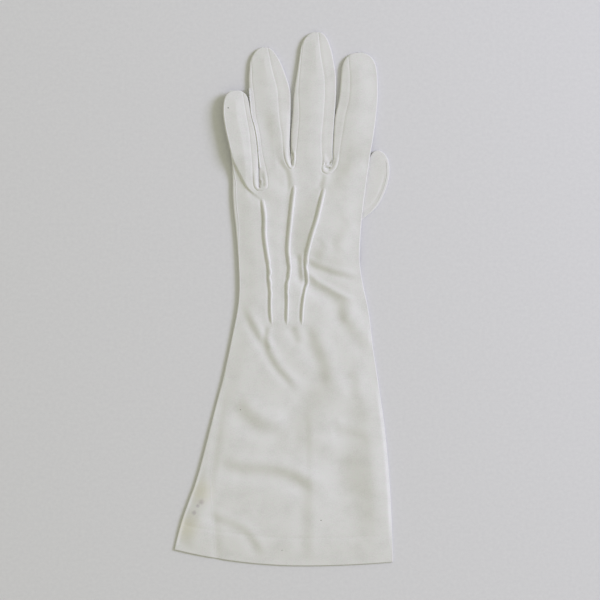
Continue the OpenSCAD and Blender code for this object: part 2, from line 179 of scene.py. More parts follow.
class Finger:
    """One finger's outline, read from its CAD nodes."""

    def __init__(self, name):
        self.name = name
        self.root = ROOT_Y[name]
        nodes = NODES_OF[name + "_base"] + NODES_OF[name + "_tip"]
        rows = np.unique(np.round(mesh_of(nodes)[0][:, 1], 2))
        rows = rows[np.concatenate([[True], np.diff(rows) > 0.1])]
        rows[0] += 0.05
        rows[-1] -= 0.05
        low, high = span(nodes, 1, rows)
        self.tip = rows[-1] + 0.1
        self.rows = np.append(rows, self.tip)
        middle, half = (low + high) / 2, (high - low) / 2
        self.middle = np.append(middle, middle[-1])
        self.power = np.append(half ** CAP_POWER, 0)
        self.left_crotch = self.right_crotch = None
        self.cap = self.tip - CAP_SHAPE[name][0]
        self.squareness = CAP_SHAPE[name][1]

    def half(self, y):
        length = self.tip - self.cap
        t = np.clip((y - self.cap) / length, 0, 1)
        y = np.where(y > self.cap, self.cap + length * t ** self.squareness, y)
        return np.maximum(smooth(self.rows, self.power, y), 0) ** (1 / CAP_POWER)

    def cad(self, y, side):
        return smooth(self.rows, self.middle, y) + side * self.half(y)

    def left(self, y):
        crotch = self.left_crotch
        if crotch is None:
            return self.cad(y, -1)
        return mix(crotch.centre(y) + crotch.gap(y), self.cad(y, -1), crotch.parting(y))

    def right(self, y):
        edge, left = self.right_edge(y), self.left(y)
        lean = TIP_LEAN[self.name] * ease((y - self.tip + LEAN_FROM) / LEAN_RUN)
        return left + (edge - left) * (1 - lean)

    def right_edge(self, y):
        crotch = self.right_crotch
        if crotch is None:
            return self.cad(y, 1)
        near = crotch.centre(y) - crotch.gap(y)
        if self.name == "little":
            near = near + LITTLE_OVERLAP * ease((y - OVERLAP_FROM) / OVERLAP_RUN)
        return mix(near, self.cad(y, 1), crotch.parting(y))

    def straight(self, y, side):
        """An edge of the finger, run straight on past where the fingertip rounds in."""
        edge = self.left if side < 0 else self.right
        cap = self.tip - STRAIGHT_END
        slope = (edge(cap) - edge(cap - SLOPE_RUN)) / SLOPE_RUN
        return np.where(y > cap, edge(cap) + slope * (y - cap), edge(np.minimum(y, cap)))


class Crotch:
    """The slot between two fingers, and the seams of the fourchettes that meet round it."""

    def __init__(self, left, right, rises, slot_start):
        self.fork = f"fork_{left}_{right}"
        self.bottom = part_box(self.fork)[0].y / MM
        self.slot_bottom = self.bottom + slot_start
        self.rises = rises
        finger_left, finger_right = self.fingers = fingers[left], fingers[right]
        low_rows = np.linspace(self.bottom + 0.3, finger_left.root - 0.5, 5)
        low = span([self.fork], 1, low_rows)
        high_rows = np.linspace(HAND_TOP_Y + 3, min(finger_left.tip, finger_right.tip) - 4, 12)
        high = (finger_left.cad(high_rows, 1) + finger_right.cad(high_rows, -1)) / 2
        self.at = np.concatenate([low_rows, high_rows])
        self.x = np.concatenate([(low[0] + low[1]) / 2, high])
        finger_left.right_crotch = self
        finger_right.left_crotch = self
        scan = np.arange(HAND_TOP_Y + 5, min(finger_left.tip, finger_right.tip), 0.5)
        apart = finger_right.cad(scan, -1) - finger_left.cad(scan, 1) > OPEN_GAP
        self.open_y = scan[apart.argmax()]

    def centre(self, y):
        return smooth(self.at, self.x, y)

    def gap(self, y):
        return SLOT_HALF * arc((y - self.slot_bottom) / SLOT_TAPER)

    def rise(self, y, side):
        return arc((y - self.bottom) / self.rises[side])

    def parting(self, y):
        return ease((y - self.open_y + OPEN_RUN) / OPEN_RUN)


# How far each seam between a finger's back and a fourchette lies inside the finger's left and right edges
STATIONS = np.array([0, 0.1, 0.25, 0.4, 0.6, 0.8, 1])
SEAM_INSET = {
    "little": (None, (3.6, 3.9, 4.0, 4.1, 3.6, 2.6, 1.2)),
    "ring": ((6.4, 5.6, 3.3, 3.0, 3.4, 2.2, 0.4), (4.6, 4.5, 4.8, 7.0, 8.3, 7.6, 5.5)),
    "middle": ((3.0, 3.4, 4.6, 4.5, 2.6, 1.3, 0.4), (5.6, 6.6, 7.6, 7.3, 7.4, 7.8, 6.5)),
    "index": ((4.1, 3.9, 5.0, 6.2, 6.7, 6.0, 3.6), None),
}
fingers = {name: Finger(name) for name in ROOT_Y}
crotches = [
    Crotch("little", "ring", (5.0, 4.0), 5.3),
    Crotch("ring", "middle", (10.0, 8.0), 5.7),
    Crotch("middle", "index", (6.0, 5.0), 6.6),
]


def seam_x(finger, side, y):
    """A finger's seam between its back and a fourchette; side is -1 or 1."""
    crotch = finger.right_crotch if side > 0 else finger.left_crotch
    inset = np.array(SEAM_INSET[finger.name][(side + 1) // 2])
    inset = smooth(STATIONS, inset, (y - crotch.bottom) / (finger.tip - crotch.bottom))
    line = finger.straight(y, side) - side * inset
    line = mix(crotch.centre(y), line, crotch.rise(y, 0 if side > 0 else 1))
    return np.clip(line, finger.left(y), finger.right(y))


# The hem and the two sides, read at places a little inside the CAD's ends
HEM_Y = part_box("cuff_sleeve")[0].y / MM
hem_places = np.linspace(-71.0, 71.5, 16)
hem_line = span(["cuff_sleeve"], 0, hem_places)[0]
HEM_RISE_FROM, HEM_RISE_RUN = -100.0, 50.0    # rows of the cuff follow the hem's curve below these


def hem_share(v):
    return ease((HEM_RISE_FROM - v) / HEM_RISE_RUN)


def hem_rise(x, v):
    return hem_share(v) * (smooth(hem_places, hem_line, x) - HEM_Y)


def read_side(end, hand_node, top, count):
    """Rows of the cuff and hand, and where they end: end is 0 on the left and 1 on the right."""
    cuff = np.linspace(hem_line[-end] + 0.5, WRIST_Y - 0.5, 14)
    hand = np.linspace(WRIST_Y + 0.5, top - 0.4, count)
    return np.concatenate([cuff, hand]), np.concatenate([
        span(["cuff_sleeve", "cuff_side_seam"], 1, cuff)[end], span([hand_node], 1, hand)[end]])


LEFT_SIDE = read_side(0, "hand_side_seam", ROOT_Y["little"], 12)
RIGHT_SIDE = read_side(1, "hand_trank", HAND_TOP_Y, 13)


def left_side(v):
    return smooth(*LEFT_SIDE, v + hem_share(v) * (hem_line[0] - HEM_Y))


def right_side(v):
    return smooth(*RIGHT_SIDE, v + hem_share(v) * (hem_line[-1] - HEM_Y))


# ---- Distances ----

def segments(x, y):
    return np.stack([x[:-1], y[:-1], x[1:], y[1:]], axis=1)


def distance(lines, x, y, reach):
    """From each point of a grid to the nearest of the segments, up to reach."""
    out = np.full(x.shape, float(reach))
    for i in range(len(x)):
        low, high = y[i].min() - reach, y[i].max() + reach
        near = lines[(np.maximum(lines[:, 1], lines[:, 3]) > low)
                     & (np.minimum(lines[:, 1], lines[:, 3]) < high)]
        if len(near) == 0:
            continue
        ax, ay, bx, by = (near[:, k][:, None] for k in range(4))
        dx, dy = bx - ax, by - ay
        t = np.clip(((x[i] - ax) * dx + (y[i] - ay) * dy) / np.maximum(dx * dx + dy * dy, 1e-12), 0, 1)
        away = np.hypot(x[i] - ax - t * dx, y[i] - ay - t * dy).min(axis=0)
        out[i] = np.minimum(out[i], away)
    return out


def tip_rows(low, tip, step, cap):
    """Rows from low to a rounded tip, closer together towards it."""
    body = np.linspace(low, tip - cap, max(2, round((tip - cap - low) / step)) + 1)
    turn = np.linspace(0, math.pi / 2, 13)[1:]
    return np.concatenate([body, tip - cap + cap * np.sin(turn)])


def glove_edges():
    parts = []
    for side, end in ((left_side, ROOT_Y["little"]), (right_side, HAND_TOP_Y)):
        v = np.linspace(HEM_Y, end, 400)
        x = side(v)
        parts.append(segments(x, v + hem_rise(x, v)))
    for finger in fingers.values():
        y = tip_rows(finger.root, finger.tip, 0.6, 9.0)
        parts.append(segments(finger.left(y), y))
        parts.append(segments(finger.right(y), y))
    for crotch in crotches:
        y = crotch.slot_bottom + (HAND_TOP_Y - crotch.slot_bottom) * np.linspace(0, 1, 50) ** 2
        parts.append(segments(crotch.centre(y) - crotch.gap(y), y))
        parts.append(segments(crotch.centre(y) + crotch.gap(y), y))
    return np.concatenate(parts)


EDGES = glove_edges()


def rounded(points, step=1.5):
    """A smooth line through a few points, in short steps."""
    p = np.array(points, float)
    p = np.concatenate([[2 * p[0] - p[1]], p, [2 * p[-1] - p[-2]]])
    out = []
    for a, b, c, d in zip(p[:-3], p[1:-2], p[2:-1], p[3:]):
        t = np.linspace(0, 1, max(2, int(np.hypot(*(c - b)) / step) + 1), endpoint=False)[:, None]
        out.append(b + (c - a) / 2 * t + (2 * a - 5 * b + 4 * c - d) / 2 * t ** 2
                   + (3 * b - a - 3 * c + d) / 2 * t ** 3)
    return np.concatenate(out + [p[-2:-1]])


def beside(line, x, y, reach):
    """The distance to a line, above 0 on the side that the light comes from, and the share along it."""
    away = np.full(x.shape, float(reach))
    share = np.zeros(x.shape)
    low, high = line.min(axis=0) - reach, line.max(axis=0) + reach
    near = (x > low[0]) & (x < high[0]) & (y > low[1]) & (y < high[1])
    if not near.any():
        return away, share
    px, py = x[near][:, None], y[near][:, None]
    a, d = line[:-1], np.diff(line, axis=0)
    t = ((px - a[:, 0]) * d[:, 0] + (py - a[:, 1]) * d[:, 1]) / (d ** 2).sum(axis=1)
    t = np.clip(t, 0, 1)
    gx, gy = px - a[:, 0] - t * d[:, 0], py - a[:, 1] - t * d[:, 1]
    gap = np.hypot(gx, gy)
    k = gap.argmin(axis=1)
    pick = np.arange(len(k)), k
    chord = line[-1] - line[0]
    facing = 1.0 if -chord[1] * LIGHT_SIDE[0] + chord[0] * LIGHT_SIDE[1] > 0 else -1.0
    side = np.sign(d[k, 0] * gy[pick] - d[k, 1] * gx[pick])
    away[near] = np.clip(gap[pick] * side * facing, -reach, reach)
    share[near] = (k + t[pick]) / len(d)
    return away, share


# ---- Relief of the upper layer ----

# Folds in the cloth: points along the fold, half widths on its shaded and lit sides, height.
# The cloth is higher on the light's side.
FOLDS = [
    ([(-28, -2), (-20, -18), (-14, -28), (-10, -35), (-4, -45), (3, -53), (8, -59), (10, -64)],
     2.4, 2.8, 0.6),
    ([(-10, -17), (-11, -27), (-8, -35)], 1.9, 1.9, 0.42),
    ([(6, -17), (9, -24), (11, -31)], 3.0, 3.0, 0.45),
    ([(16, -14), (19, -24), (23, -34), (27, -44), (29, -54), (30, -61)], 5.0, 5.0, 0.75),
    ([(12, 27), (19, 23), (26, 20), (33, 17.5), (41, 15.5), (50, 14.5)], 2.0, 2.2, 0.48),
    ([(12, 20), (18, 14), (22, 10.5), (28, 7), (34, 3.5), (41, 0), (48, -3)], 4.5, 1.7, 0.47),
    ([(30, 3), (37, -8), (44, -18), (51, -27), (57, -36)], 4.5, 5.0, 0.6),
    ([(38, -1), (40, -18)], 3.0, 3.0, 0.25),
    ([(-31, -64), (-27, -71), (-21, -78), (-13, -83), (-4, -85), (5, -85)], 6.0, 5.5, 0.9),
    ([(30, -46), (23, -65), (15, -84), (9, -101)], 10.0, 12.0, 1.3),
    ([(50, -50), (54, -110), (60, -172)], 14.0, 10.0, 0.9),
    ([(32, -85), (41, -87), (58, -90)], 3.5, 3.5, 0.3),
    ([(43, -46), (47, -56), (46, -68)], 3.5, 3.5, 0.25),
    ([(-43, -107), (-32, -111), (-14, -112), (-5, -113), (5, -116), (13, -120), (21, -123), (28, -127)],
     5.0, 4.5, 1.0),
    ([(40, -100), (46, -118), (50, -134)], 10.0, 10.0, 0.6),
    ([(-53, -138), (-44, -144), (-34, -148), (-25, -153), (-18, -162), (-12, -174)], 3.2, 3.2, 0.42),
    ([(14.5, -112), (16, -130), (16.5, -150), (16, -178)], 5.0, 3.5, 0.27),
    ([(16, -70), (17, -100), (17.5, -132)], 2.0, 2.5, 0.12),
    ([(-68, -176), (-63, -150), (-56, -128), (-50, -108)], 5.0, 6.0, 0.6),
    ([(45, 52), (38, 42), (31, 33)], 4.0, 4.0, 0.35),
    ([(28, 38), (21, 24)], 3.0, 3.0, 0.3),
    ([(11, 31), (11.5, 20), (12.5, 9)], 2.2, 1.6, 0.5),
    ([(31, 78), (44, 88), (55, 93)], 4.0, 4.0, 0.25),
    ([(-9, 130), (-7.5, 115), (-4, 101), (0, 86), (3.5, 73)], 4.5, 6.0, 0.7),
    ([(-3.2, 94), (0, 88.2), (3.0, 84), (4.4, 76), (4.2, 67.5)], 1.6, 2.2, 0.4),
    ([(27.2, 83), (26.2, 77), (24.5, 71)], 1.6, 1.8, 0.3),
]
# Thin dark tucks where the forks' cloth is caught in the stitches
TUCKS = [
    [(4.7, 101), (4.9, 97.2), (6, 95.5), (6.7, 93.7), (6.3, 91.4)],
    [(32.7, 94), (32.2, 91.4), (31.4, 90.2), (29.8, 88.7)],
    [(28, 90), (27.7, 87.5), (28.8, 86.2), (30.4, 86.2)],
    [(-15.4, 77.6), (-15, 76.4)],
]
UNDULATION = 0.09        # height of the slow waves everywhere in the cloth
FOLD_REACH = 3.6         # a fold is shaped up to this many half widths away


TUCK_LINES = [rounded(points, 0.5) for points in TUCKS]
FOLD_LINES = [(rounded(points), shaded, lit, height) for points, shaded, lit, height in FOLDS]


def rib_line(node):
    """The centre line of a raised row of stitching, from its CAD node."""
    low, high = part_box(node)
    y = np.linspace(low.y / MM + 0.3, high.y / MM - 0.3, 60)
    left, right = span([node], 1, y)
    return np.stack([(left + right) / 2, y], axis=1)


POINT_LINES = {name: rib_line(name) for name in ("point_little_side", "point_middle", "point_index_side")}
POINT_HALF, POINT_H = 1.25, 1.15


def point_valleys(x, y):
    """The cloth sinks along the shaded side of each raised row of stitching."""
    out = np.zeros(x.shape)
    for line in POINT_LINES.values():
        away, share = beside(line, x, y, 9.0)
        ends = fade_ends(share, 0.05, 0.06)
        out -= 0.5 * bell(away + 1.7, 0.8) * ends
        out += 0.3 * bell(away - 0.2, 2.0) * ends
        out -= 0.22 * bell(away + 4.0, 2.4) * ends * (line is POINT_LINES["point_middle"])
    return out


# The fold along the little finger's outer side, from the root of the first raised row to the left edge
little_fold = rounded([(-14.2, 63.5), (-15.6, 65.6), (-17.5, 67.3), (-20.6, 69.8), (-23.3, 72.5), (-26, 76.5),
                       (-28, 80.5), (-30, 84.5), (-32, 88.6), (-34, 93), (-37, 99), (-45, 114)], 0.8)


def little_step(x, y, run):
    """How far the little finger stands above the layer that it is folded over."""
    away, share = beside(little_fold, x, y, 30.0)
    grow = ease((y - 62) / 12)
    fade = 1 - ease((away - 5) / 13)
    return grow * ease(away / run + 0.5) * fade * ease((101 - y) / 14)


def little_raise(x, y):
    """The little finger stands off the floor, more at its outer edge."""
    finger, crotch = fingers["little"], crotches[0]
    share = (x - finger.straight(y, -1)) / (finger.straight(y, 1) - finger.straight(y, -1))
    tilt = mix(*LITTLE_RAISED, np.clip(share, -0.2, 1))
    own = x < crotch.centre(y) + (y > HAND_TOP_Y - 2) * 1.0
    return tilt * ease((y - crotch.slot_bottom) / LITTLE_RAISE_RUN) * own * (y < finger.tip + 1)


def relief(x, y):
    out = np.zeros(x.shape)
    for line, shaded, lit, height in FOLD_LINES:
        reach = FOLD_REACH * max(shaded, lit)
        away, share = beside(line, x, y, reach)
        ends = fade_ends(share, 0.22, 0.25)
        shape = away / lit * np.exp((1 - (away / np.where(away > 0, lit, shaded)) ** 2) / 2)
        out += height * shape * ends * (np.abs(away) < reach)
    out += point_valleys(x, y)
    out += UNDULATION * (np.sin(x / 7.1 + 1.3 * np.sin(y / 13.0)) * np.sin(y / 9.3 + 0.7)
                         + 0.6 * np.sin(x / 3.7 + y / 5.9) * np.sin(y / 4.3 - x / 8.1))
    return out


def seam_grooves(x, y):
    """The sewn lines between the fingers' backs and their fourchettes."""
    out = np.zeros(x.shape)
    for finger in fingers.values():
        for side, crotch in ((-1, finger.left_crotch), (1, finger.right_crotch)):
            if crotch is None:
                continue
            shown = (y > crotch.bottom) & (x > finger.left(y) - 0.5) & (x < finger.right(y) + 0.5)
            shown &= y < finger.tip
            out -= SEAM_DEPTH * bell(x - seam_x(finger, side, y), SEAM_WIDTH) * shown
    return out


def fork_outline(crotch):
    """The U-shaped seam round a fork, down one side and up the other."""
    y = crotch.bottom + 18 * np.linspace(1, 0, 60) ** 2
    left = seam_x(crotch.fingers[0], 1, y)
    right = seam_x(crotch.fingers[1], -1, y)
    return np.concatenate([segments(left, y), segments(right[::-1], y[::-1])])


FORK_LINES = [fork_outline(crotch) for crotch in crotches]


def fork_relief(x, y):
    """A fork's sewn edge puckers into a rounded ridge, and the cloth inside it sinks."""
    out = np.zeros(x.shape)
    for crotch, outline in zip(crotches, FORK_LINES):
        inside = (y > crotch.bottom) & (y < crotch.bottom + 17)
        inside &= (x > seam_x(crotch.fingers[0], 1, y)) & (x < seam_x(crotch.fingers[1], -1, y))
        if not inside.any():
            continue
        away = distance(outline, x, y, 6.0)
        shape = 0.4 * bell(away - 1.3, 1.0) - 0.5 * ease((away - 2.0) / 1.6)
        out += shape * inside * ease(away / 0.5) * (1 - ease((y - crotch.bottom - 8) / 8))
    for line in TUCK_LINES:
        away, share = beside(line, x, y, 4.0)
        out += 0.35 * bell(away - 0.9, 0.7) - 0.8 * bell(away, 0.45)
    return out


# ---- The thumb's outline ----

thumb_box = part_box("thumb_sheath")
THUMB_LOW, THUMB_HIGH = thumb_box[0].y / MM, thumb_box[1].y / MM
thumb_at = np.linspace(THUMB_LOW + 0.4, THUMB_HIGH - 0.3, 34)
thumb_low, thumb_high = span(["thumb_sheath"], 1, thumb_at)
thumb_at = np.concatenate([[THUMB_LOW], thumb_at, [THUMB_HIGH]])
thumb_mid = np.pad((thumb_low + thumb_high) / 2, 1, mode="edge")
thumb_half = np.pad(((thumb_high - thumb_low) / 2) ** 2, 1)


def thumb_edge(y, side):
    half = np.sqrt(np.maximum(smooth(thumb_at, thumb_half, y), 0))
    return smooth(thumb_at, thumb_mid, y) + side * half


def thumb_left(y):
    return thumb_edge(y, -1)


def thumb_right(y):
    """The outer edge, which stays under the hand below the thumb's visible part."""
    edge = thumb_edge(y, 1)
    return np.minimum(edge, mix(right_side(y) - 1.2, edge, ease((y - 48) / 9)))


def thumb_rows(step):
    low = THUMB_LOW + 6 - 6 * np.sin(np.linspace(0, math.pi / 2, 12)[::-1])
    return np.concatenate([low[:-1], tip_rows(THUMB_LOW + 6, THUMB_HIGH, step, 6.0)])


outline_y = thumb_rows(1.0)
THUMB_EDGES = np.concatenate([segments(thumb_left(outline_y), outline_y),
                              segments(thumb_right(outline_y), outline_y)])


def thumb_lift(x, y):
    """The glove lies over the folded thumb, so its cloth is higher there."""
    away = distance(THUMB_EDGES, x, y, THUMB_RAMP)
    inside = (y > THUMB_LOW) & (y < THUMB_HIGH) & (x > thumb_left(y)) & (x < thumb_right(y))
    away = np.where(inside, 0, away)
    return (THUMB_H + 0.25) * ease(1 - away / THUMB_RAMP)


# ---- Heights ----

def hem_distance(x, y):
    return y - smooth(hem_places, hem_line, x)


def edge_radius(x, y):
    """The radius of the folded edge, which grows from the hem up to the hand."""
    cuff = mix(HEM_R, CUFF_R, ease(hem_distance(x, y) / 25))
    return mix(cuff, HAND_R, ease((y + 45) / 60))


def cap_height(d, r):
    return r * (1 - (1 - np.clip(d / r, 0, 1)) ** EDGE_POWER) ** (1 / EDGE_POWER)


def upper(x, y, d, rim=1.0):
    r = edge_radius(x, y)
    z = FLOOR_GAP + r + cap_height(d * rim, r) + DOME * ease(d / DOME_RUN) * ease(hem_distance(x, y) / 16)
    z += (relief(x, y) * ease(d / 2.4) + fork_relief(x, y) * ease(d / 1.2)) * ease(hem_distance(x, y) / 8)
    z += seam_grooves(x, y) * ease(d / 0.5)
    return z + thumb_lift(x, y) + little_raise(x, y) + 1.15 * little_step(x, y, 1.0) * ease(d / 1.5)


def lower(x, y, d):
    r = edge_radius(x, y)
    z = FLOOR_GAP + r - cap_height(d, r)
    return z + thumb_lift(x, y) + little_raise(x, y) + 0.6 * little_step(x, y, 8.0) * ease(d / 1.5)


def rim_turn(x):
    """The folded edge on the thumb's side turns down more sharply."""
    width = np.maximum(x[:, -1:] - x[:, :1], 0.01)
    return 1 + 1.1 * ease(((x - x[:, :1]) / width - 0.3) / 0.4)


def rim_distance(edges, x, y, reach=EDGE_REACH, left=slice(None), right=slice(None)):
    """The distance to edges, 0 at both ends of the rows that end in one."""
    d = distance(edges, x, y, reach)
    d[left, 0] = 0
    d[right, -1] = 0
    return d


def layer_height(x, y, d, top):
    return upper(x, y, d, rim_turn(x)) if top else lower(x, y, d)


# ---- Grids ----

def shares(count, edge_low=False, edge_high=False):
    """Shares from 0 to 1, closer together at an end that is a folded edge."""
    t = np.linspace(0, 1, count + 1)
    if edge_low and edge_high:
        return (1 - np.cos(math.pi * t)) / 2
    if edge_low:
        return 1 - np.cos(math.pi * t / 2)
    if edge_high:
        return np.sin(math.pi * t / 2)
    return t


def across(lines, spans, rows):
    """Columns from line to line in every row: spans holds the shares of each gap between lines."""
    x = np.concatenate([mix(lines[k][:, None], lines[k + 1][:, None], t[1 if k else 0:])
                        for k, t in enumerate(spans)], axis=1)
    return x, np.repeat(rows[:, None], x.shape[1], axis=1)


def edge_shares(width, count, reach=2.2):
    """Shares across a wide sheet: close together within reach of both folded edges."""
    near = reach * (1 - np.cos(np.linspace(0, math.pi / 2, 8)))[:-1] / width
    return np.concatenate([near, np.linspace(reach / width, 1 - reach / width, count), 1 - near[::-1]])


def points_of(x, y, z):
    return np.stack([x, y, z], axis=-1)


def ring_of(top, bottom):
    """One closed grid from an upper and a lower one: over the top to the right, and back underneath."""
    return np.concatenate([top, bottom[:, -2:0:-1], top[:, :1]], axis=1)


# ---- Objects and their placement ----

def add_object(name, data):
    made = bpy.data.objects.new(name, data)
    bpy.context.scene.collection.objects.link(made)
    return made


def bend_wrist(piece):
    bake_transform(piece)


def bend_finger(piece):
    """Bakes the piece's placement into its mesh."""
    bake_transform(piece)


# ---- Materials ----

def node(tree, kind, **values):
    made = tree.nodes.new(kind)
    for key, value in values.items():
        if hasattr(made, key):
            setattr(made, key, value)
        else:
            made.inputs[key].default_value = value
    return made


SPECKS = [  # place and radius, in millimetres, of small dark specks in the cloth
    ((-36.1, 125.4), 0.55), ((-28.2, -73.1), 0.4), ((24.9, -146.0), 0.45), ((-0.8, -165.8), 0.35),
]
SMUDGES = [((-54, -133.8), 2.8), ((-56.2, -136.4), 1.8), ((-58.8, -141), 2.2)]
# painted shade: darker, yellow-tinted patches along the cuff's left edge near the hem, where the cloth rolls
# away from the light
PAINTED_SHADE_PATCHES = [((-54, -127), 12.0), ((-64, -150), 14.0)]


COLOUR_AT_DARK, COLOUR_AT_LIGHT = 0.62, 1.0    # levels of the mixed noises


def maths(tree, operation, *values):
    """A maths node of numbers and other nodes' outputs."""
    made = node(tree, "ShaderNodeMath", operation=operation)
    for socket, value in zip(made.inputs, values):
        if isinstance(value, float):
            socket.default_value = value
        else:
            tree.links.new(value, socket)
    return made.outputs["Value"]


def texture(tree, place, kind, **values):
    made = node(tree, "ShaderNodeTex" + kind, **values)
    tree.links.new(place, made.inputs["Vector"])
    return made.outputs["Fac"]


def ramp(tree, level, *stops):
    """Two colours and the levels that they stand at."""
    made = node(tree, "ShaderNodeValToRGB")
    for element, (position, colour) in zip(made.color_ramp.elements, stops):
        element.position = position
        element.color = (*colour, 1)
    tree.links.new(level, made.inputs["Fac"])
    return made.outputs["Color"]


def mixed(tree, a, b, **values):
    """Two colours mixed: a is a node's output, b an output or three numbers."""
    made = node(tree, "ShaderNodeMix", data_type="RGBA", **values)
    sides = [s for s in made.inputs if s.type == "RGBA"]
    tree.links.new(a, sides[0])
    if isinstance(b, tuple):
        sides[1].default_value = (*b, 1)
    else:
        tree.links.new(b, sides[1])
    return made, [s for s in made.outputs if s.type == "RGBA"][0]


def cloth_material(name, light, shade, bump=1.0, marks=False, sheen=0.25):
    """White knitted cotton: fine wales, a soft mottle and a little sheen."""
    material = bpy.data.materials.new(name)
    material.use_nodes = True
    tree = material.node_tree
    tree.nodes.clear()
    link = tree.links.new
    out = node(tree, "ShaderNodeOutputMaterial")
    surface = node(tree, "ShaderNodeBsdfPrincipled", **{
        "Specular IOR Level": 0.2, "Sheen Weight": sheen, "Sheen Roughness": 0.6})
    link(surface.outputs["BSDF"], out.inputs["Surface"])
    place = node(tree, "ShaderNodeUVMap", uv_map="Cloth").outputs["UV"]

    mottle = texture(tree, place, "Noise", Scale=9.0, Detail=5.0, Roughness=0.6)
    grain = texture(tree, place, "Noise", Scale=115.0, Detail=2.0, Roughness=0.6)
    both = maths(tree, "MULTIPLY_ADD", grain, 0.85, mottle)
    shades = ramp(tree, both, (COLOUR_AT_DARK, shade), (COLOUR_AT_LIGHT, light))
    tint_noise = texture(tree, place, "Noise", Scale=48.0, Detail=2.0, Roughness=0.5)
    tints = ramp(tree, tint_noise, (0.3, (0.975, 1, 0.985)), (0.7, (1, 0.98, 1)))
    colour = mixed(tree, shades, tints, blend_type="MULTIPLY", Factor=1.0)[1]
    # specks and a smudge, and painted shade on the cuff's left edge
    if marks:
        colour = add_marks_and_painted_shade(tree, place, colour)
    link(colour, surface.inputs["Base Color"])

    wales, courses = (
        texture(tree, place, "Wave", wave_type="BANDS", bands_direction=axis, Scale=scale,
                Distortion=0.6, Detail=1.0, **{"Detail Scale": 3.0})
        for axis, scale in (("X", 70.0), ("Y", 95.0)))
    fuzz = texture(tree, place, "Noise", Scale=260.0, Detail=4.0, Roughness=0.7)
    knit = node(tree, "ShaderNodeBump", Strength=0.35 * bump, Distance=0.00012)
    link(maths(tree, "ADD", maths(tree, "MULTIPLY", wales, courses), fuzz), knit.inputs["Height"])
    link(knit.outputs["Normal"], surface.inputs["Normal"])
    rough = node(tree, "ShaderNodeMapRange", **{"To Min": 0.78, "To Max": 1.0})
    link(grain, rough.inputs["Value"])
    link(rough.outputs["Result"], surface.inputs["Roughness"])
    return material


def add_marks_and_painted_shade(tree, place, colour):
    """Small dark specks and a faint grey smudge at places on the cloth, and painted shade: darker yellow
    patches along the cuff's left edge.
    """
    link = tree.links.new
    for spots, tint, soft, strength in ((SPECKS, (0.12, 0.13, 0.09), 0.35, 0.8),
                                        (SMUDGES, (0.36, 0.31, 0.37), 0.9, 0.95),
                                        # a darker yellow tint: painted shade along the cuff's left edge
                                        (PAINTED_SHADE_PATCHES, (0.72, 0.68, 0.52), 1.0, 0.8)):
        for (x, y), radius in spots:
            away = node(tree, "ShaderNodeVectorMath", operation="DISTANCE")
            away.inputs[1].default_value = (x / 100, y / 100, 0)
            link(place, away.inputs[0])
            fall = node(tree, "ShaderNodeMapRange", interpolation_type="SMOOTHSTEP",
                        **{"From Min": radius * (1 - soft) / 100, "From Max": radius / 100,
                           "To Min": strength, "To Max": 0})
            link(away.outputs["Value"], fall.inputs["Value"])
            fade = fall.outputs["Result"]
            if soft > 0.5:
                fade = maths(tree, "MULTIPLY", texture(tree, place, "Noise", Scale=80.0, Detail=4.0), fade)
            blend, colour = mixed(tree, colour, tint)
            link(fade, blend.inputs["Factor"])
    return colour


# The materials, by the names of their slots
CLOTHS = {
    slot: cloth_material(slot, light, shade, **extra) for slot, light, shade, extra in (
        ("trank_cloth", (0.72, 0.717, 0.692), (0.645, 0.642, 0.617), {"marks": True}),
        ("fourchette_cloth", (0.71, 0.705, 0.675), (0.635, 0.63, 0.60), {}),
        ("hem_cloth", (0.71, 0.705, 0.675), (0.64, 0.635, 0.605), {}),
        ("thumb_cloth", (0.71, 0.705, 0.675), (0.64, 0.635, 0.605), {}),
        ("point_ridge", (0.75, 0.745, 0.73), (0.68, 0.675, 0.66), {}),
        ("seam_thread", (0.74, 0.735, 0.72), (0.67, 0.665, 0.65), {"bump": 1.6, "sheen": 0.1}))
}
SOLID_SLOTS = ("point_ridge", "seam_thread")    # pieces of closed grids, which need no thickness


# ---- Making pieces ----

def make_piece(name, grids, slot, *nodes):
    """A piece from grids of points in millimetres, welded where they meet, with the cloth's thickness."""
    mesh = bpy.data.meshes.new(name)
    form = bmesh.new()
    uv = form.loops.layers.uv.new("Cloth")
    for grid in grids:
        made = [[form.verts.new(p * MM) for p in row] for row in grid]
        for i in range(len(made) - 1):
            for j in range(len(made[0]) - 1):
                form.faces.new((made[i][j], made[i][j + 1], made[i + 1][j + 1], made[i + 1][j]))
    bmesh.ops.remove_doubles(form, verts=form.verts, dist=WELD * MM)
    bmesh.ops.dissolve_degenerate(form, dist=WELD * MM, edges=form.edges)
    loose = [v for v in form.verts if not v.link_faces]
    bmesh.ops.delete(form, geom=loose, context="VERTS")
    for face in form.faces:
        face.smooth = True
        for loop in face.loops:
            loop[uv].uv = (loop.vert.co.x * UV_SCALE, loop.vert.co.y * UV_SCALE)
    form.to_mesh(mesh)
    form.free()
    piece = add_object(name, mesh)
    if slot not in SOLID_SLOTS:
        wall = piece.modifiers.new("Cloth", "SOLIDIFY")
        wall.thickness = CLOTH * MM
        wall.offset = -1
        bpy.context.view_layer.update()
        solid = bpy.data.meshes.new_from_object(piece.evaluated_get(bpy.context.evaluated_depsgraph_get()))
        piece.modifiers.clear()
        piece.data = solid
    piece.data.set_sharp_from_angle(angle=math.radians(SHARP_ANGLE))
    piece.data.materials.append(CLOTHS[slot])
    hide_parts(*nodes)
    return piece


# ---- Cuff ----

CUFF_WIDTH = 144.0       # at the hem
CUFF_COLUMNS, CUFF_UNDER = edge_shares(CUFF_WIDTH, 150), edge_shares(CUFF_WIDTH, 30)
HEM_INSET = 0.1          # how far the turned hem lies inside the cuff, beside the cloth's thickness
HEM_SINK = 0.08          # and below it


